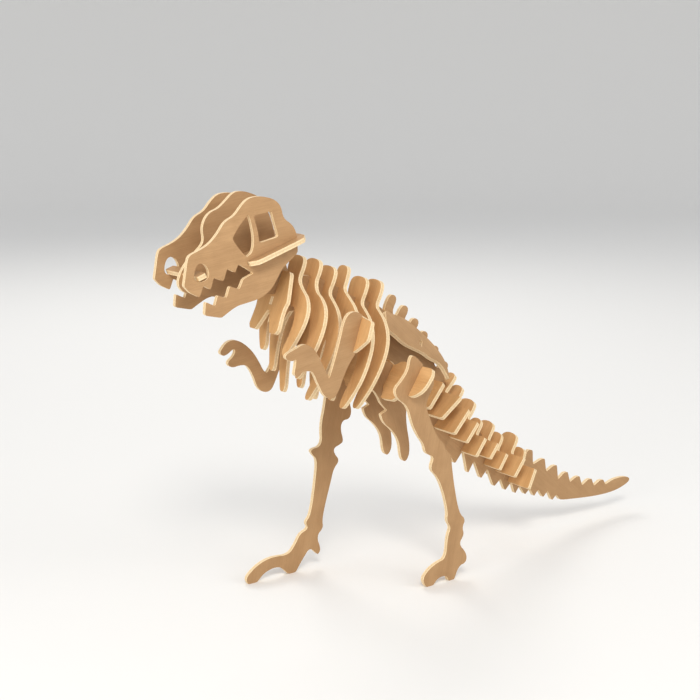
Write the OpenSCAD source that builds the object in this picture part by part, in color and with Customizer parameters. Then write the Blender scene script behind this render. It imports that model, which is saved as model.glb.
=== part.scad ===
// Tyrannosaurus skeleton that slots together from flat plywood plates.
// Millimetres, +Z up, head towards -X, the animal's left side at -Y, feet on Z = 0.
// Side plates stand upright along the spine. Cross plates stand across it and lean towards the tail.

/* [Plywood] */
// thickness of every plate
ply = 3; // [2.6:0.1:3.2]
// room between a plate and the slot it sits in, shared by both sides
slot_room = 0.2; // [0.1:0.05:0.4]

/* [Spread] */
// distance of each leg plate from the middle
leg_y = 38; // [36:0.5:39]
// distance of each skull side plate from the middle
skull_y = 18.5; // [16:0.5:20]
// distance of each arm plate from the middle
arm_y = 32; // [32:0.5:33.5]
// distance of each pubis plate from the middle
pubis_y = 10; // [8:0.5:13]

/* [Leans] */
// lean of the rib plates towards the tail, degrees
rib_lean = 18.5; // [17.5:0.5:19.5]
// lean of the neck plate
neck_lean = 22; // [21:0.5:23]
// lean of the hip cross plate
hip_lean = 33; // [32:0.5:34]
// extra lean of every tail vertebra plate
tail_lean = 0; // [-1:0.5:1]

/* [Hidden] */

// the outlines are drawn with x = 0 over the front hip, and moved so that the model is centred
middle_x = 73;
slot = ply + slot_room;
// long enough to run out of any plate
through = 60;
// how much of a tooth's or claw's corner is rounded away, against a quarter for a plain curve
crisp = 0.1;

// plate face, seen from the side and from the front
side_wood = [0.78, 0.64, 0.47];
cross_wood = [0.77, 0.60, 0.41];

// where each cross plate stands: [x, z] of its zero height on the middle plane
neck_at = [-67.5, 184.7];
rib_1_at = [-50, 199.5];
rib_2_at = [-39.9, 189.7];
rib_3_at = [-30.2, 179.9];
shoulder_at = [-17.3, 180];
rib_5_at = [-4.3, 171.1];
rib_6_at = [8.1, 168.1];
hip_at = [26.5, 147];
// height up each cross plate where its slot meets the spine board's slot
rib_1_lap = 8;
rib_2_lap = 14;
rib_3_lap = 19;
shoulder_lap = 17;
rib_5_lap = 18;
rib_6_lap = 18;
// the tab on the spine board's front end, up the neck plate
neck_tab = [16.8, 22];
// height up the neck plate where the skull core sits
skull_lap = 32;

// tail vertebrae: [x, z of the lobe's top, lean, shoulder half-width, foot half-width,
// lobe half-width, lobe height, body height]
vertebrae = [
    [90.8, 135.4, 47, 23.5, 20.5, 5.5, 16.5, 20],
    [97.2, 125.5, 42, 23.3, 23.3, 6.5, 15.5, 20.5],
    [107.4, 114, 39.5, 20.3, 20.3, 8.5, 15, 16.5],
    [116, 98.5, 38, 17, 17.5, 6, 12.5, 15],
    [126.3, 95, 36, 19.8, 19.5, 8, 14, 12.5],
    [136, 84.8, 34, 18, 18.3, 6.5, 13.2, 13],
    [149.7, 82.4, 32, 22.7, 21.5, 8, 15.3, 15.6],
    [159.4, 69.4, 29, 22.3, 23.5, 6.5, 12, 15.5]
];

// the first tail plate has no lobe and is pushed on from below, clear of the ilium plates
first_at = [83, 143];
first_lean = 48;
first_lap = -26;

// the roof-like ilium plates: slope down towards the tail, and tilt inwards
ilium_slope = 43.5;
ilium_tilt = 35;
ilium_at = [45, 12.6, 163];
sacrum_at = [48.6, 159.6];
// how far down the ilium's slope the sacrum plate stands
sacrum_along = 4.95;
// the tab's ends, up the ilium plate
tab_low = 4;
tab_top = 9;

// the joint between spine board and tail board
seam_at = [144.5, 55];
seam_lean = 31;
tab_depth = 5;

// the cheek bar's middle, seen from the side, and its rise towards the back of the skull
cheek_at = [-70.2, 237.9];
cheek_rise = 19;
cheek_length = 43;
snout_at = [-122.6, 225.6];
snout_rise = 20;
snout_depth = 6;

// ---------- outlines ----------

// a point may carry a third value, the share of each edge rounded away there
function share(p) = len(p) > 2 ? p[2] : 0.25;
function flat(p) = [p[0], p[1]];
// rounds a closed outline by cutting its corners, n times over
function rounded(p, n = 2) = n == 0 ? [for (q = p) flat(q)] : rounded([
    for (i = [0 : len(p) - 1])
        let (a = flat(p[i]), b = flat(p[(i + 1) % len(p)]))
        let (sa = share(p[i]), sb = share(p[(i + 1) % len(p)]))
        each [concat(a + sa * (b - a), sa), concat(b + sb * (a - b), sb)]
], n - 1);
// the same outline on the other side of the middle line
function both_sides(h) = concat(h, [for (i = [len(h) - 1 : -1 : 0]) [-h[i][0], h[i][1], share(h[i])]]);
// a rounded knob on a board's edge: top at [x, z], leaning with the plates
function knob(x, z, w, h, lean) =
    let (s = [cos(lean), -sin(lean)] * w / 2, v = [sin(lean), cos(lean)])
    [[x, z] - h * v - s, [x, z] - s, [x, z] + s, [x, z] - h * v + s];

// a saw tooth on the tail's back edge: gentle rise to its top at [x, z], then down to the valley at [vx, vz]
function tooth(x, z, vx, vz) = [[x - 2, z - 0.5, crisp], [x + 1.8, z - 0.6, crisp], [vx, vz, crisp]];

// ---------- placing ----------

// a plate standing along the spine, its outline drawn as [x, z]
module side_plate(y) {
    translate([-middle_x, y, 0])
        rotate([90, 0, 0])
            linear_extrude(ply, center = true)
                children();
}

// a plate standing across the spine, its outline drawn as [y, height up the lean]
module cross_plate(at, lean) {
    translate([at[0] - middle_x, 0, at[1]])
        rotate([0, lean, 0])
            rotate([90, 0, 90])
                linear_extrude(ply, center = true)
                    children();
}

// slot in a side plate for a cross plate, running up from the given height
module slot_up(at, lean, from) {
    translate(at)
        rotate(-lean)
            translate([-slot / 2, from])
                square([slot, through]);
}

// slot in a side plate for a cross plate, running down from the given height
module slot_down(at, lean, from) {
    translate(at)
        rotate(-lean)
            translate([-slot / 2, from - through])
                square([slot, through]);
}

// slot in a cross plate for a side plate at y, running up from the given height
module cross_slot_up(y, from) {
    translate([y - slot / 2, from])
        square([slot, through]);
}

// slot in a cross plate for a side plate at y, running down from the given height
module cross_slot_down(y, from) {
    translate([y - slot / 2, from - through])
        square([slot, through]);
}

// ---------- spine and tail boards ----------

back_edge = concat(
    [[-77, 193], [-75, 200], [-66, 204], [-58, 206.5], [-52, 211], [-45, 216]],
    [[-36, 218], [-21, 213], [-8, 206], [3, 199], [14, 196], [24, 191], [29, 186]],
    knob(36, 197.5, 7, 11, 28),
    knob(46.5, 189, 7, 11, 32),
    knob(56, 179, 7, 10, 36),
    knob(64.5, 169, 7, 10, 38),
    knob(74.5, 157.5, 7, 10, 40),
    knob(83.5, 145, 7, 9, 42),
    [
        [84, 128], [91, 117], [99, 106.5], [109, 96], [119, 86],
        [129.5, 76], [141, 68.5], [152, 60.5], [160, 56]
    ],
    [[163.8, 65], [166.5, 67, crisp], [170.2, 66, crisp], [170.9, 54.5, crisp]],
    tooth(181.5, 57.8, 185.2, 46.3),
    tooth(194.8, 50.3, 198.3, 37.8),
    tooth(207, 42.6, 211.5, 33.2),
    tooth(220.3, 36.8, 225.1, 28),
    tooth(234, 32.2, 238.8, 25.2),
    tooth(247.5, 29, 252, 23.8)
);
belly_edge = [
    [262, 27], [276, 26.5], [281, 23.5], [277, 20], [262, 16.3], [238, 16.5],
    [201.5, 20.6, crisp], [197, 26, crisp], [192.4, 22, crisp], [187.5, 30.8, crisp], [182.6, 26.3, crisp],
    [177.3, 33.8, crisp], [173, 29, crisp], [168.3, 36.3, crisp], [163.4, 32.2, crisp], [157.5, 40.4, crisp],
    [153, 34.8, crisp], [149, 45.2, crisp], [142.6, 39.2, crisp], [137.8, 49.5, crisp], [131.4, 44.3, crisp],
    [124.5, 59.7, crisp], [118, 52.8, crisp], [111.3, 68.2, crisp], [105.2, 59, crisp], [100.6, 78.2, crisp],
    [92.6, 68.8, crisp], [87, 78], [78, 86], [66, 100], [52, 119],
    [40, 132], [30, 138], [21, 141], [16, 150], [14, 164], [9, 174], [-2, 179], [-15, 184],
    [-27, 188.5], [-38, 194], [-48, 196], [-58, 192], [-68, 188], [-75, 188]
];

module whole_backbone() {
    polygon(rounded(concat(back_edge, belly_edge)));
}

// the dovetail tab on the tail board, grown by the given room
module seam_tab(room) {
    translate(seam_at)
        rotate(-seam_lean)
            polygon([
                [1, -3 - room], [0, -3 - room], [-tab_depth - room, -4.5 - room],
                [-tab_depth - room, 4.5 + room], [0, 3 + room], [1, 3 + room]
            ]);
}

// everything on the tail's side of the seam
module tail_side(room) {
    translate(seam_at)
        rotate(-seam_lean)
            translate([-room, -150])
                square([300, 300]);
}

// everything in front of the neck plate's rear face, but for the tab through the plate
module before_neck() {
    translate(neck_at)
        rotate(-neck_lean)
            difference() {
                translate([slot / 2 - through, -through])
                    square([through, 2 * through]);
                translate([-ply / 2, neck_tab[0]])
                    square([2 * ply, neck_tab[1] - neck_tab[0]]);
            }
}

module spine_board() {
    color(side_wood) side_plate(0) difference() {
        whole_backbone();
        tail_side(slot_room / 2);
        seam_tab(slot_room / 2);
        before_neck();
        slot_up(rib_1_at, rib_lean, rib_1_lap);
        slot_up(rib_2_at, rib_lean, rib_2_lap);
        slot_up(rib_3_at, rib_lean, rib_3_lap);
        slot_up(shoulder_at, rib_lean, shoulder_lap);
        slot_up(rib_5_at, rib_lean, rib_5_lap);
        slot_up(rib_6_at, rib_lean, rib_6_lap);
        slot_up(sacrum_at, ilium_slope, 0);
        slot_down(hip_at, hip_lean, 0);
        slot_down(first_at, first_lean, first_lap);
        for (i = [0 : 6])
            slot_up(vertebra_at(i), vertebra_lean(i), -vertebra_lap(i));
    }
}

module tail_board() {
    color(side_wood) side_plate(0) {
        difference() {
            intersection() {
                whole_backbone();
                tail_side(0);
            }
            slot_up(vertebra_at(7), vertebra_lean(7), -vertebra_lap(7));
        }
        seam_tab(0);
    }
}

// ---------- neck and ribs ----------

module neck_plate() {
    color(cross_wood) cross_plate(neck_at, neck_lean) difference() {
        polygon(rounded(both_sides([
            [2, 39.5], [10.8, 39.5, crisp], [17, 20.5, crisp], [15, 15], [16.5, 2, crisp],
            [14.5, -0.8, crisp], [8.5, -0.8, crisp], [1.2, 13, crisp]
        ])));
        translate([-slot / 2, neck_tab[0] - slot_room / 2])
            square([slot, neck_tab[1] - neck_tab[0] + slot_room]);
        cross_slot_up(0, skull_lap);
    }
}

// a plain rib plate: outline of one side, then its slot for the spine board
module rib(at, lap, outline) {
    color(cross_wood) cross_plate(at, rib_lean) difference() {
        polygon(rounded(both_sides(outline)));
        cross_slot_down(0, lap);
    }
}

module rib_1() {
    rib(rib_1_at, rib_1_lap, [
        [3.5, 32.5], [7.5, 30.5], [8, 25], [6.5, 17], [13, 11.5], [20.5, 7.5], [25.5, 0],
        [25.5, -9], [21.5, -20], [17, -28.5], [13.5, -33], [9.5, -30], [13.5, -18], [14.5, -8],
        [12, -1], [6, 0.5], [2, 0.5]
    ]);
}

module rib_2() {
    rib(rib_2_at, rib_2_lap, [
        [4, 39.5], [8, 37], [8.5, 31], [7.2, 25], [11, 18.5], [18.5, 15.5], [25.5, 9.5], [28.5, 1],
        [28, -9], [25.5, -19], [21, -29], [16.5, -38.5], [12.5, -37.5], [15, -26], [16.5, -14],
        [15.5, -4], [11, 4.5], [4, 6]
    ]);
}

module rib_3() {
    rib(rib_3_at, rib_3_lap, [
        [4, 44], [8.5, 41.5], [9, 35], [7, 26.5], [14, 22], [21.5, 17], [28, 8.5], [30.5, -1],
        [29.5, -13], [25.5, -26], [20, -37], [16, -44.5], [11.5, -42.5], [16, -29], [19.5, -16],
        [19.5, -4], [15.5, 5], [10, 10], [3, 10.5]
    ]);
}

module shoulder_rib() {
    color(cross_wood) cross_plate(shoulder_at, rib_lean) difference() {
        polygon(rounded(both_sides([
            [2.5, 43], [5.5, 41], [6, 34], [5.5, 27.5], [13, 23], [21, 18.5], [25, 14.5],
            [34, 12.5], [44, 11, crisp], [44.5, -1, crisp], [39, -6.5], [31, -12.5], [26.5, -20],
            [20.5, -34], [16, -43.5], [11, -42], [14, -30], [17.5, -17], [17, -4], [14, 4],
            [9, 8.5], [3, 9]
        ])));
        cross_slot_down(0, shoulder_lap);
        cross_slot_down(-arm_y, 4);
        cross_slot_down(arm_y, 4);
    }
}

module rib_5() {
    rib(rib_5_at, rib_5_lap, [
        [4, 43.5], [8.5, 41], [9, 34.5], [7.3, 26], [14, 22], [21.5, 17], [28, 8.5], [31, -1],
        [31, -13], [28, -26], [22.5, -37], [18, -44.5], [13.5, -43], [17, -30], [20.5, -17],
        [19.5, -4], [15, 4], [9, 8.5], [3, 9]
    ]);
}

module rib_6() {
    rib(rib_6_at, rib_6_lap, [
        [4, 43.5], [8.5, 41], [9, 34.5], [7.3, 26], [14, 22], [21.5, 17], [28, 8.5], [30.5, -1],
        [29.5, -13], [25.5, -26], [20, -37], [15.5, -44], [11, -42], [14, -30], [17.5, -17],
        [17.5, -4], [14.5, 4], [9, 8.5], [3, 9]
    ]);
}

// ---------- skull ----------

skull_outline = [
    [-132, 237], [-130, 239.5], [-124, 241.5], [-117, 245], [-111, 251], [-106.5, 257.5], [-99.5, 260.5],
    [-95, 266], [-90, 270.5], [-83, 271.5], [-76, 270.5], [-70.5, 268.5], [-66.5, 264.5], [-65, 257],
    [-58.5, 253], [-55, 247], [-54.5, 235, crisp], [-66, 226.5], [-69, 221.5], [-74, 214], [-82, 209],
    [-93, 207], [-99, 206], [-105.5, 202.5], [-110, 199.8, crisp], [-121.3, 202.3, crisp],
    [-120.5, 210.5, crisp], [-114.2, 207.3, crisp], [-112.2, 213.6, crisp], [-106, 211.6, crisp],
    [-103.7, 218.4, crisp], [-97, 216, crisp], [-94, 222, crisp], [-86.5, 225, crisp],
    [-97.5, 231.5, crisp], [-99.9, 226.4, crisp], [-105.4, 229.3, crisp], [-108, 221.9, crisp],
    [-114.8, 224.6, crisp], [-117, 217.6, crisp], [-122, 220.4, crisp], [-124.6, 213.6, crisp],
    [-130.8, 216.8, crisp], [-134.8, 221, crisp], [-133.5, 228]
];
eye_outline = [
    [-90, 261, crisp], [-97, 254], [-101.5, 247, crisp], [-97, 240.5], [-91.5, 235, crisp],
    [-87, 238], [-86, 246.5], [-88, 256]
];
cheek_hole = [
    [-86.5, 260, crisp], [-83.5, 251], [-82.5, 243, crisp], [-68.5, 246, crisp],
    [-70.5, 252], [-73.5, 262, crisp]
];
nostril = [[-126, 234.5], [-119.5, 233], [-117, 225.5], [-122.8, 222], [-129, 224.5]];

module cheek_slot() {
    translate(cheek_at)
        rotate(cheek_rise)
            translate([-cheek_length / 2 - slot_room, -slot / 2])
                square([cheek_length + 20, slot]);
}

module skull_side(y) {
    color(side_wood) side_plate(y) difference() {
        polygon(rounded(skull_outline));
        polygon(rounded(eye_outline));
        polygon(rounded(cheek_hole));
        polygon(rounded(nostril));
        cheek_slot();
    }
}

module left_skull() {
    skull_side(-skull_y);
}

module right_skull() {
    skull_side(skull_y);
}

// the middle plate of the head, which also makes the neck joint
module skull_core() {
    color(side_wood) side_plate(0) difference() {
        polygon(rounded([
            [-71, 269.5], [-77, 272], [-83, 273.5], [-89, 273], [-94.5, 268], [-100, 263.5], [-105, 262],
            [-109, 258.5], [-111.5, 252], [-110, 244], [-115, 239], [-122, 233], [-127, 226], [-129, 219],
            [-124.5, 213.5], [-116, 212.5], [-104, 209.5], [-90, 208.5], [-78, 210], [-68, 208.5],
            [-59, 207], [-52, 211], [-49, 218], [-52, 228], [-58, 234], [-60, 248], [-64, 260]
        ]));
        cheek_slot();
        translate(snout_at)
            rotate(snout_rise)
                square([snout_depth + slot_room, slot], center = true);
        slot_down(neck_at, neck_lean, skull_lap);
    }
}

// flat bar through the back of all three skull plates
module cheek_bar() {
    color(side_wood)
        translate([cheek_at[0] - middle_x, 0, cheek_at[1]])
            rotate([0, -cheek_rise, 0])
                linear_extrude(ply, center = true)
                    polygon(rounded([
                        for (c = [[1, 1], [-1, 1], [-1, -1], [1, -1]])
                            [c[0] * cheek_length / 2, c[1] * (skull_y + 8), 0.1]
                    ]));
}

// short strip through the nostrils
module snout_bar() {
    color(side_wood)
        translate([snout_at[0] - middle_x, 0, snout_at[1]])
            rotate([0, -snout_rise, 0])
                linear_extrude(ply, center = true)
                    polygon(rounded([
                        for (c = [[1, 1], [-1, 1], [-1, -1], [1, -1]])
                            [c[0] * snout_depth / 2, c[1] * (skull_y + 1.5), 0.05]
                    ]));
}

// ---------- arms ----------

// each arm has a slot open upwards around the shoulder flange
left_arm_outline = [
    [-73, 172], [-68.5, 170], [-65, 171.5], [-66, 165.5], [-67, 161], [-63.5, 159.5], [-60.5, 163],
    [-57, 162.5], [-53, 162], [-49, 153.5], [-44.5, 144.5], [-38, 141.5], [-33.5, 145.5], [-29, 156.5],
    [-22, 167.5], [-10.5, 178], [-8.5, 184], [-11, 190], [-17, 196], [-24, 196.5], [-28.5, 191.5],
    [-32, 178.5], [-36, 166.5], [-40.5, 155, crisp], [-45, 164.5], [-51, 175.5], [-58.5, 180.5],
    [-66, 177.5], [-73, 175]
];
right_arm_outline = [
    [-82.5, 166.5], [-80, 164], [-76.5, 165], [-73, 167.5], [-71.5, 168], [-70.5, 166], [-72.5, 162.5],
    [-76.5, 160], [-76, 157], [-72.5, 155.5], [-67.5, 156.5], [-62.5, 156], [-59.5, 152.5],
    [-56.5, 146.5], [-54.5, 140.5], [-51.5, 137], [-48, 135.5], [-44, 136], [-41, 139.5], [-33, 158],
    [-22, 170], [-11, 179], [-9, 185], [-11.5, 190], [-16, 194], [-22, 195], [-27, 190], [-31, 179],
    [-37, 167], [-45.5, 148], [-49, 150], [-52.5, 157], [-57, 164], [-62.5, 169.5], [-68, 173],
    [-72.5, 174], [-77, 173], [-80.5, 169.5]
];

module arm(y, outline) {
    color(side_wood) side_plate(y) difference() {
        polygon(rounded(outline));
        slot_up(shoulder_at, rib_lean, 4);
    }
}

module left_arm() {
    arm(-arm_y, left_arm_outline);
}

module right_arm() {
    arm(arm_y, right_arm_outline);
}

// ---------- pelvis ----------

// a point beside an ilium plate, seen from behind: t up the plate, n out from its middle
function roof(t, n) = [
    ilium_at[1] - t * sin(ilium_tilt) + n * cos(ilium_tilt),
    t * cos(ilium_tilt) + n * sin(ilium_tilt)
];

// each sloping side of this plate carries one ilium plate on a tab
module sacrum_plate() {
    under = -(ply + slot_room) / 2;
    color(cross_wood) cross_plate(sacrum_at, ilium_slope) difference() {
        polygon(both_sides([
            roof(16, under), roof(tab_top, under), roof(tab_top, ply / 2), roof(tab_low, ply / 2),
            roof(tab_low, under), roof(-3, under), [15, -6], [13, -10.5], [6.3, -10.5], [6, -14]
        ]));
        cross_slot_down(0, 0);
    }
}

// drawn in the plate's own plane: [down the slope, up towards the spine]
ilium_outline = [
    [-32.5, -10.5], [-34.5, -4], [-37, 3], [-29.5, 5], [-21, 10], [-11.5, 13.5], [6.5, 16], [22, 16.5],
    [33, 14], [39, 8], [42, 1.5, crisp], [34, 6], [27, 6.5], [18, 2.5], [10.5, 1.5], [0, -3],
    [-12, -7.8], [-22, -8.5]
];

module ilium(side) {
    color(side_wood)
        scale([1, side, 1])
            translate([ilium_at[0] - middle_x, ilium_at[1], ilium_at[2]])
                rotate([0, ilium_slope, 0])
                    rotate([ilium_tilt, 0, 0])
                        ilium_plate();
}

// lies in its own xz plane: x down the slope, z up towards the spine
module ilium_plate() {
    rotate([90, 0, 0])
        linear_extrude(ply, center = true)
            difference() {
                polygon(rounded(ilium_outline));
                translate([sacrum_along - slot / 2, tab_low - slot_room / 2])
                    square([slot, tab_top - tab_low + slot_room]);
            }
}

module left_ilium() {
    ilium(-1);
}

module right_ilium() {
    ilium(1);
}

module hip_plate() {
    color(cross_wood) cross_plate(hip_at, hip_lean) difference() {
        polygon(rounded(both_sides([
            [4, 8], [9, 6], [13, 5], [17, 8.5], [22, 9.5], [30, 8], [38, 9.2],
            [49.5, 9.4, crisp], [51.8, 5, crisp], [51.2, -3], [48.5, -8.5], [42.5, -12.6],
            [36, -12.5], [30, -15], [26, -18.5, crisp], [15, -19.5, crisp], [12.5, -11], [4, -10]
        ])));
        cross_slot_up(0, 0);
        cross_slot_down(-leg_y, 0);
        cross_slot_down(leg_y, 0);
        cross_slot_down(-pubis_y, -2);
        cross_slot_down(pubis_y, -2);
    }
}

module pubis(y) {
    color(side_wood) side_plate(y) difference() {
        polygon(rounded([
            [18, 152], [22.5, 156], [30, 150], [37, 152.5], [42.5, 148], [43.5, 138], [41, 127], [38.5, 114],
            [43.5, 90], [39.5, 81.5], [35, 85], [33.5, 98], [27, 107], [20, 112.5], [17.5, 119, crisp],
            [23, 121, crisp], [17.5, 126.5], [15.5, 131], [12, 136], [8.5, 138.5], [12, 147]
        ]));
        slot_up(hip_at, hip_lean, -2);
    }
}

module left_pubis() {
    pubis(-pubis_y);
}

module right_pubis() {
    pubis(pubis_y);
}

// ---------- legs ----------

module left_leg() {
    color(side_wood) side_plate(-leg_y) difference() {
        polygon(rounded([
            [23, 164.5], [20, 162], [19, 154.5], [13, 147.5], [7.5, 143], [9.5, 136.5], [18.5, 130.5],
            [22.5, 117], [28, 107.5], [32.5, 102], [34, 95], [42, 92], [38, 83.5], [45, 77], [50.5, 65],
            [54.5, 50], [53.5, 44], [57.5, 38.5], [54.5, 32.5], [53.5, 17], [45, 15.5], [37, 11.5],
            [32.5, 6], [36, 0, crisp], [42, 0, crisp], [46.5, 4.5], [54, 4.5], [56, 0, crisp], [61, 0, crisp],
            [65, 9], [72, 10], [72, 17], [64.5, 25], [69.5, 31], [67.5, 36.5], [70.5, 42], [64.5, 47.5],
            [60, 66], [57, 84], [56.5, 91.5], [51, 94.5], [50.5, 99.5], [44, 104.5], [35, 124],
            [33.5, 130.5], [42, 143.5], [37, 151.5], [31.5, 156]
        ]));
        slot_up(hip_at, hip_lean, 0);
    }
}

module right_leg() {
    color(side_wood) side_plate(leg_y) difference() {
        polygon(rounded([
            [22, 163.5], [17.5, 158], [14, 150], [8, 141], [6.5, 129], [5, 117], [1.5, 103], [2.5, 88.5],
            [-8, 87.5], [-6, 83.5], [-2, 79.5], [-3, 67], [-7.5, 39.5], [-12.5, 35], [-9.5, 30],
            [-17, 27.5], [-20.5, 21], [-26.5, 14], [-39, 15.5], [-48, 14], [-56, 10], [-62, 4.5],
            [-60, 0, crisp], [-53, 0, crisp], [-47, 5.5], [-39, 7.5], [-33, 6.5], [-27, 0, crisp],
            [-21, 0, crisp], [-14.5, 9], [-8.5, 16], [-2, 9, crisp], [1, 12], [-3, 23], [3, 28], [2, 34],
            [5, 46.5], [9.5, 60.5], [12, 70], [17.5, 75.5], [12.5, 81.5], [12.5, 85.5], [17.5, 87],
            [21, 89], [18, 98.5], [20, 104.5], [26, 104.5], [28, 110], [26, 117], [29, 128],
            [35, 137], [38.5, 147], [34, 155], [28, 159]
        ]));
        slot_up(hip_at, hip_lean, 0);
    }
}

// ---------- tail vertebrae ----------

function vertebra_at(i) = [vertebrae[i][0], vertebrae[i][1]];
function vertebra_lean(i) = vertebrae[i][2] + tail_lean;
// depth below the lobe's top where the plate's slot meets the board's slot
function vertebra_lap(i) = vertebrae[i][6] + vertebrae[i][7] * 0.45;

module vertebra(i) {
    shoulder = vertebrae[i][3];
    foot = vertebrae[i][4];
    half = vertebrae[i][5];
    lobe = vertebrae[i][6];
    body = vertebrae[i][7];
    color(cross_wood) cross_plate(vertebra_at(i), vertebra_lean(i)) difference() {
        polygon(rounded(both_sides([
            [half * 0.5, 0], [half, -3], [half + 0.5, -lobe + 2, crisp], [half + 1.5, -lobe, crisp],
            [shoulder, -lobe, 0.04], [foot, -lobe - body, 0.04]
        ])));
        cross_slot_down(0, -vertebra_lap(i));
    }
}

module vertebra_1() {
    color(cross_wood) cross_plate(first_at, first_lean) difference() {
        polygon(rounded(both_sides([[2, -14.8], [13, -14.8, 0.06], [17, -36.5, 0.06], [5, -38]])));
        cross_slot_up(0, first_lap);
    }
}

module vertebra_2() {
    vertebra(0);
}

module vertebra_3() {
    vertebra(1);
}

module vertebra_4() {
    vertebra(2);
}

module vertebra_5() {
    vertebra(3);
}

module vertebra_6() {
    vertebra(4);
}

module vertebra_7() {
    vertebra(5);
}

module vertebra_8() {
    vertebra(6);
}

module vertebra_9() {
    vertebra(7);
}

spine_board();
tail_board();
neck_plate();
rib_1();
rib_2();
rib_3();
shoulder_rib();
rib_5();
rib_6();
skull_core();
left_skull();
right_skull();
cheek_bar();
snout_bar();
left_arm();
right_arm();
sacrum_plate();
left_ilium();
right_ilium();
hip_plate();
left_pubis();
right_pubis();
left_leg();
right_leg();
vertebra_1();
vertebra_2();
vertebra_3();
vertebra_4();
vertebra_5();
vertebra_6();
vertebra_7();
vertebra_8();
vertebra_9();
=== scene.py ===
import math

import bpy
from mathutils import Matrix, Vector

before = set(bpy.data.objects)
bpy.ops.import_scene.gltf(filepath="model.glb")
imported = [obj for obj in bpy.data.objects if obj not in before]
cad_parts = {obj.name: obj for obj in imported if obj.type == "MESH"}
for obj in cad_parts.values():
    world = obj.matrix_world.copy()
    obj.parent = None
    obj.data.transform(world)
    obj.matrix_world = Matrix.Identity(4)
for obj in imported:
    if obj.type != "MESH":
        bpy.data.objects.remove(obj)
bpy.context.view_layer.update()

# ---------- camera, at the photograph's angle ----------

AZIMUTH = math.radians(-36)
ELEVATION = math.radians(11.5)
AIM = Vector((-0.073, 0, 0.1637))
DISTANCE = 0.8621
SENSOR_WIDTH = 36
# focal length as a share of the picture's width
FOCAL_RATIO = 1290 / 700

back = Vector((
    math.sin(AZIMUTH) * math.cos(ELEVATION),
    -math.cos(AZIMUTH) * math.cos(ELEVATION),
    math.sin(ELEVATION),
))
camera = bpy.data.objects.new("camera", bpy.data.cameras.new("camera"))
bpy.context.scene.collection.objects.link(camera)
camera.location = AIM + DISTANCE * back
camera.rotation_euler = back.to_track_quat("Z", "Y").to_euler()
camera.data.sensor_width = SENSOR_WIDTH
camera.data.lens = FOCAL_RATIO * SENSOR_WIDTH
camera.data.dof.use_dof = False
bpy.context.scene.camera = camera

# ---------- which way each plate faces and its grain runs ----------

SIDE = Vector((0, 1, 0))

# lean of each cross plate towards the tail, degrees
RIB_LEAN = 18.5
SACRUM_LEAN = 43.5
VERTEBRA_LEANS = [48, 47, 42, 39.5, 38, 36, 34, 32, 29]
RIBS = ("rib_1", "rib_2", "rib_3", "shoulder_rib", "rib_5", "rib_6")
CROSS_LEANS = {"neck_plate": 22, "hip_plate": 33, "sacrum_plate": SACRUM_LEAN}
CROSS_LEANS.update((rib, RIB_LEAN) for rib in RIBS)
CROSS_LEANS.update(("vertebra_%d" % number, degrees) for number, degrees in enumerate(VERTEBRA_LEANS, 1))

# slope of the two ilium plates outward, and rise of the two bars towards the tail, degrees
ILIUM_TILT = 35
CHEEK_BAR_RISE = 19
SNOUT_BAR_RISE = 20

# grain of the upright plates, by the end of their names
SIDE_GRAINS = {
    "leg": Vector((0.2, 0, 1)),
    "pubis": Vector((0.3, 0, -1)),
    "board": Vector((0.77, 0, -0.64)),
}
LEVEL_GRAIN = Vector((1, 0, 0.15))


def face_of(degrees):
    """Face normal of a plate across the spine that leans this much."""
    a = math.radians(degrees)
    return Vector((math.cos(a), 0, -math.sin(a)))


def up_of(degrees):
    """Direction up such a plate."""
    a = math.radians(degrees)
    return Vector((math.sin(a), 0, math.cos(a)))


def ilium_normal(side):
    slope, tilt = math.radians(SACRUM_LEAN), math.radians(ILIUM_TILT)
    return Vector((
        math.sin(tilt) * math.sin(slope),
        side * math.cos(tilt),
        math.sin(tilt) * math.cos(slope),
    ))


def plate_axes(name):
    """A plate's face normal and the direction of its grain."""
    if name in CROSS_LEANS:
        degrees = CROSS_LEANS[name]
        return face_of(degrees), SIDE if name == "hip_plate" else up_of(degrees)
    if name == "left_ilium":
        return ilium_normal(-1), face_of(SACRUM_LEAN)
    if name == "right_ilium":
        return ilium_normal(1), face_of(SACRUM_LEAN)
    if name == "cheek_bar":
        return up_of(-CHEEK_BAR_RISE), face_of(-CHEEK_BAR_RISE)
    if name == "snout_bar":
        return up_of(-SNOUT_BAR_RISE), SIDE
    return SIDE, SIDE_GRAINS.get(name.split("_")[1], LEVEL_GRAIN).normalized()


# ---------- plywood ----------


def srgb(r, g, b):
    """Linear colour of three values out of 255."""
    return tuple(
        (c / 255 / 12.92) if c / 255 <= 0.04045 else ((c / 255 + 0.055) / 1.055) ** 2.4
        for c in (r, g, b)
    )


def grey(value):
    return (value,) * 3


def times(colour, share):
    return tuple(c * share for c in colour)


# painted light: side plates and cross plates are one plywood, given two face tones, the side plates
# darker and the cross plates lighter and warmer, standing in for how each way of facing is lit
SIDE_FACE, SIDE_DARK = srgb(188, 150, 108), srgb(166, 128, 88)
CROSS_FACE, CROSS_DARK = srgb(217, 173, 119), srgb(193, 145, 92)
# cut-edge colours: the pale cream of cut plywood, made paler still as a painted highlight along every
# rim
EDGE, EDGE_DARK = srgb(246, 224, 186), srgb(228, 198, 152)
# how far one plate's tone differs from the next
TONE_SPREAD = 0.05
TONE_STEP = 2.4

# noise frequencies per millimetre: along the grain, across it
BANDS = (0.012, 0.16)
FIBRES = (0.10, 1.7)
PORES = (0.35, 4.2)
EDGE_GRAIN = (0.9, 0.9)
MOTTLE = 0.07
BAND_SHARE = 0.55
# shifts between one plate's pattern and the next, along the grain and across it, millimetres
SEED_ALONG = 37.0
SEED_ACROSS = 11.0

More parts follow.
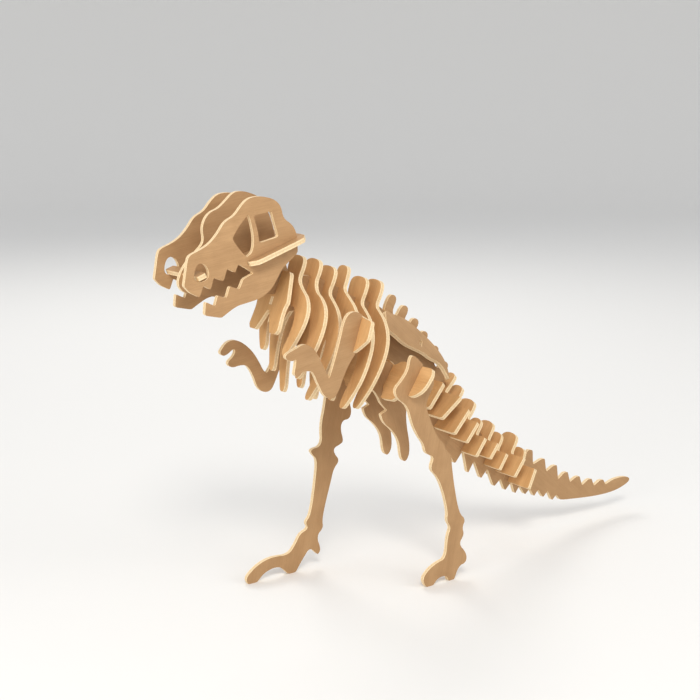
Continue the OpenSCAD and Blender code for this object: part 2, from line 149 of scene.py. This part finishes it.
# distances from the middle of the plate, millimetres
MIDDLE_PLY_FULL = 0.42
MIDDLE_PLY_GONE = 0.58
GLUE_DEPTH = 0.52
GLUE_SHARPNESS = 14.0
# how square to the face normal a surface has to be: cut edge below, face above; the bevelled rims fall
# below and take the pale edge colour, partly a painted rim highlight
EDGE_BELOW = 0.93
FACE_ABOVE = 0.985

ROUGHNESS = 0.62
ROUGHNESS_OF_FIBRES = 0.22
SPECULAR = 0.28
BUMP_STRENGTH = 0.35
BUMP_DISTANCE = 0.00012

EDGE_BEVEL = 0.00035
EDGE_ANGLE = math.radians(40)


class Tree:
    """Short names for building a node tree."""

    def __init__(self, material):
        self.nodes = material.node_tree.nodes
        self.links = material.node_tree.links

    def add(self, kind, **values):
        node = self.nodes.new(kind)
        for key, value in values.items():
            setattr(node, key, value)
        return node

    def plug(self, source, target):
        self.links.new(source, target)

    def math(self, operation, a, b=None, clamp=False):
        node = self.add("ShaderNodeMath", operation=operation, use_clamp=clamp)
        for i, x in enumerate((a, b)):
            if x is None:
                continue
            if isinstance(x, float):
                node.inputs[i].default_value = x
            else:
                self.plug(x, node.inputs[i])
        return node.outputs[0]

    def dot(self, a, vector):
        node = self.add("ShaderNodeVectorMath", operation="DOT_PRODUCT")
        self.plug(a, node.inputs[0])
        node.inputs[1].default_value = vector
        return node.outputs["Value"]

    def stretch(self, a, scale):
        node = self.add("ShaderNodeVectorMath", operation="MULTIPLY")
        self.plug(a, node.inputs[0])
        node.inputs[1].default_value = (*scale, 1.0)
        return node.outputs[0]

    def noise(self, vector, scale=1.0, detail=3.0, rough=0.5):
        node = self.add("ShaderNodeTexNoise")
        self.plug(vector, node.inputs["Vector"])
        node.inputs["Scale"].default_value = scale
        node.inputs["Detail"].default_value = detail
        node.inputs["Roughness"].default_value = rough
        return node.outputs[0]

    def ramp(self, value, *stops):
        """Two stops, each a place and a colour."""
        node = self.add("ShaderNodeValToRGB")
        self.plug(value, node.inputs[0])
        for element, (place, colour) in zip(node.color_ramp.elements, stops):
            element.position = place
            element.color = (*colour, 1)
        return node.outputs[0]

    def mix(self, factor, a, b):
        node = self.add("ShaderNodeMix", data_type="RGBA", blend_type="MIX")
        self.plug(factor, node.inputs[0])
        for socket, x in ((node.inputs[6], a), (node.inputs[7], b)):
            if isinstance(x, tuple):
                socket.default_value = (*x, 1)
            else:
                self.plug(x, socket)
        return node.outputs[2]


def face_look(t, plate, fibres, pores, face, face_dark):
    """Long grain in bands and fibres, mottled, with short dark pores."""
    bands = t.noise(t.stretch(plate, BANDS), detail=4.0, rough=0.55)
    mottle = t.noise(plate, MOTTLE)
    share_of_bands = t.math("MULTIPLY", bands, BAND_SHARE)
    tone = t.math("ADD", share_of_bands, t.math("MULTIPLY", fibres, 1 - BAND_SHARE))
    colour = t.ramp(tone, (0.30, face_dark), (0.68, face))
    patches = t.ramp(mottle, (0.38, grey(0.0)), (0.68, grey(0.30)))
    colour = t.mix(patches, colour, times(face_dark, 0.86))
    dark_pores = t.ramp(pores, (0.26, grey(0.34)), (0.37, grey(0.0)))
    return t.mix(dark_pores, colour, times(face_dark, 0.55))


def edge_look(t, plate, through, edge, edge_dark):
    """Outer plies pale, partly the cut wood's own colour and partly a painted highlight along the rims,
    the middle ply darker, and a thin glue line between them.
    """
    fine = t.noise(t.stretch(plate, EDGE_GRAIN), rough=0.6)
    depth = t.math("ABSOLUTE", through)
    colour = t.mix(t.ramp(fine, (0.35, grey(0.0)), (0.7, grey(1.0))), edge_dark, edge)
    middle_ply = t.ramp(depth, (MIDDLE_PLY_FULL, grey(1.0)), (MIDDLE_PLY_GONE, grey(0.0)))
    colour = t.mix(t.math("MULTIPLY", middle_ply, 0.42), colour, times(edge_dark, 0.72))
    off_glue = t.math("ABSOLUTE", t.math("SUBTRACT", depth, GLUE_DEPTH))
    glue = t.math("SUBTRACT", 1.0, t.math("MULTIPLY", off_glue, GLUE_SHARPNESS), clamp=True)
    return t.mix(t.math("MULTIPLY", glue, 0.35), colour, times(edge_dark, 0.35))


def plywood(name, normal, grain, middle, seed, face, face_dark, edge, edge_dark):
    """Bare plywood: long grain on the two faces, three plies on the cut edges."""
    material = bpy.data.materials.new(name)
    material.use_nodes = True
    t = Tree(material)
    shader = t.nodes["Principled BSDF"]
    where = t.add("ShaderNodeTexCoord").outputs["Object"]
    facing = t.math("ABSOLUTE", t.dot(t.add("ShaderNodeNewGeometry").outputs["Normal"], normal))

    # plate coordinates in millimetres: along the grain, across it, through the thickness
    across = normal.cross(grain).normalized()
    u, v, w = (t.math("MULTIPLY", t.dot(where, axis), 1000.0) for axis in (grain, across, normal))
    through = t.math("SUBTRACT", w, middle)
    combined = t.add("ShaderNodeCombineXYZ")
    t.plug(t.math("ADD", u, seed * SEED_ALONG), combined.inputs[0])
    t.plug(t.math("ADD", v, seed * SEED_ACROSS), combined.inputs[1])
    t.plug(through, combined.inputs[2])
    plate = combined.outputs[0]

    fibres = t.noise(t.stretch(plate, FIBRES), detail=4.0, rough=0.6)
    pores = t.noise(t.stretch(plate, PORES), detail=2.0)
    face_colour = face_look(t, plate, fibres, pores, face, face_dark)
    edge_colour = edge_look(t, plate, through, edge, edge_dark)
    is_face = t.ramp(facing, (EDGE_BELOW, grey(0.0)), (FACE_ABOVE, grey(1.0)))
    t.plug(t.mix(is_face, edge_colour, face_colour), shader.inputs["Base Color"])

    rough = t.math("ADD", ROUGHNESS, t.math("MULTIPLY", fibres, ROUGHNESS_OF_FIBRES))
    t.plug(rough, shader.inputs["Roughness"])
    shader.inputs["Specular IOR Level"].default_value = SPECULAR
    bump = t.add("ShaderNodeBump")
    bump.inputs["Strength"].default_value = BUMP_STRENGTH
    bump.inputs["Distance"].default_value = BUMP_DISTANCE
    height = t.math("ADD", t.math("MULTIPLY", fibres, 0.5), t.math("MULTIPLY", pores, 0.5))
    t.plug(height, bump.inputs["Height"])
    t.plug(bump.outputs[0], shader.inputs["Normal"])
    return material


for number, (name, node) in enumerate(sorted(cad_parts.items())):
    normal, grain = plate_axes(name)
    through = [normal.dot(v.co) for v in node.data.vertices]
    middle = (min(through) + max(through)) / 2 * 1000
    # painted light: cross plates take the lighter, warmer face tone for their way of facing, side plates
    # the darker one
    face, dark = (CROSS_FACE, CROSS_DARK) if name in CROSS_LEANS else (SIDE_FACE, SIDE_DARK)
    shade = 1.0 + TONE_SPREAD * math.sin(number * TONE_STEP)
    # the sacrum plate's tabs end flush in the ilium plates' faces and take their tone
    edge, edge_dark = (SIDE_FACE, SIDE_DARK) if name == "sacrum_plate" else (EDGE, EDGE_DARK)
    material = plywood(
        "plywood_" + name, normal, grain, middle, number, times(face, shade), dark, edge, edge_dark
    )
    node.data.materials.clear()
    node.data.materials.append(material)
    bevel = node.modifiers.new("softened_edges", "BEVEL")
    bevel.width = EDGE_BEVEL
    bevel.segments = 2
    bevel.limit_method = "ANGLE"
    bevel.angle_limit = EDGE_ANGLE
    bevel.harden_normals = False

# ---------- floor: a shallow round studio dish, flat, then sweeping up into a low wall ----------

FLAT_RADIUS = 2.8
SWEEP = 1.0
SWEEP_STEPS = 12
WALL_TOP = 1.3
AROUND = 96
FLOOR_COLOUR = (0.80, 0.79, 0.77, 1)
FLOOR_ROUGHNESS = 0.8


def dish_profile():
    """Radius and height of each ring, from the flat outwards."""
    rings = []
    for step in range(SWEEP_STEPS + 1):
        turn = math.radians(90 * step / SWEEP_STEPS)
        rings.append((FLAT_RADIUS + SWEEP * math.sin(turn), SWEEP * (1 - math.cos(turn))))
    return rings + [(FLAT_RADIUS + SWEEP, WALL_TOP)]


def dish_mesh():
    """The middle point, then one ring of points for each step of the profile."""
    rings = dish_profile()
    points, faces = [(0.0, 0.0, 0.0)], []
    for radius, height in rings:
        for i in range(AROUND):
            turn = 2 * math.pi * i / AROUND
            points.append((radius * math.cos(turn), radius * math.sin(turn), height))
    for i in range(AROUND):
        j = (i + 1) % AROUND
        faces.append((0, 1 + i, 1 + j))
        for ring in range(len(rings) - 1):
            inner, outer = 1 + ring * AROUND, 1 + (ring + 1) * AROUND
            faces.append((inner + i, outer + i, outer + j, inner + j))
    mesh = bpy.data.meshes.new("floor")
    mesh.from_pydata(points, [], faces)
    for polygon in mesh.polygons:
        polygon.use_smooth = True
    return mesh


floor = bpy.data.objects.new("floor", dish_mesh())
bpy.context.scene.collection.objects.link(floor)
floor_material = bpy.data.materials.new("floor_paint")
floor_material.use_nodes = True
floor_shader = floor_material.node_tree.nodes["Principled BSDF"]
floor_shader.inputs["Base Color"].default_value = FLOOR_COLOUR
floor_shader.inputs["Roughness"].default_value = FLOOR_ROUGHNESS
floor.data.materials.append(floor_material)

# ---------- light ----------

SKY_COLOUR = (0.95, 0.97, 1.0, 1)
SKY_STRENGTH = 0.72
WARM = (1.0, 0.97, 0.92)
NEUTRAL = (1.0, 0.98, 0.95)
# name, place, aim, diameter in metres, watts, colour
LIGHTS = [
    ("key", (-0.75, -1.05, 1.35), (0, 0, 0.12), 0.5, 12, WARM),
    ("front", (-1.35, -0.45, 0.45), (-0.05, 0, 0.16), 0.8, 6, WARM),
    ("fill", (0.9, -1.2, 0.9), (0, 0, 0.14), 1.0, 5.5, NEUTRAL),
    ("rim", (0.5, 1.2, 1.2), (0, 0, 0.15), 0.7, 7, NEUTRAL),
]

world = bpy.context.scene.world or bpy.data.worlds.new("world")
bpy.context.scene.world = world
world.use_nodes = True
world.node_tree.nodes["Background"].inputs[0].default_value = SKY_COLOUR
world.node_tree.nodes["Background"].inputs[1].default_value = SKY_STRENGTH

for name, place, aim, size, power, colour in LIGHTS:
    lamp = bpy.data.lights.new(name, "AREA")
    lamp.shape = "DISK"
    lamp.size = size
    lamp.energy = power
    lamp.color = colour
    light = bpy.data.objects.new(name, lamp)
    bpy.context.scene.collection.objects.link(light)
    light.location = place
    light.rotation_euler = (Vector(place) - Vector(aim)).to_track_quat("Z", "Y").to_euler()

bpy.context.scene.view_settings.view_transform = "Standard"
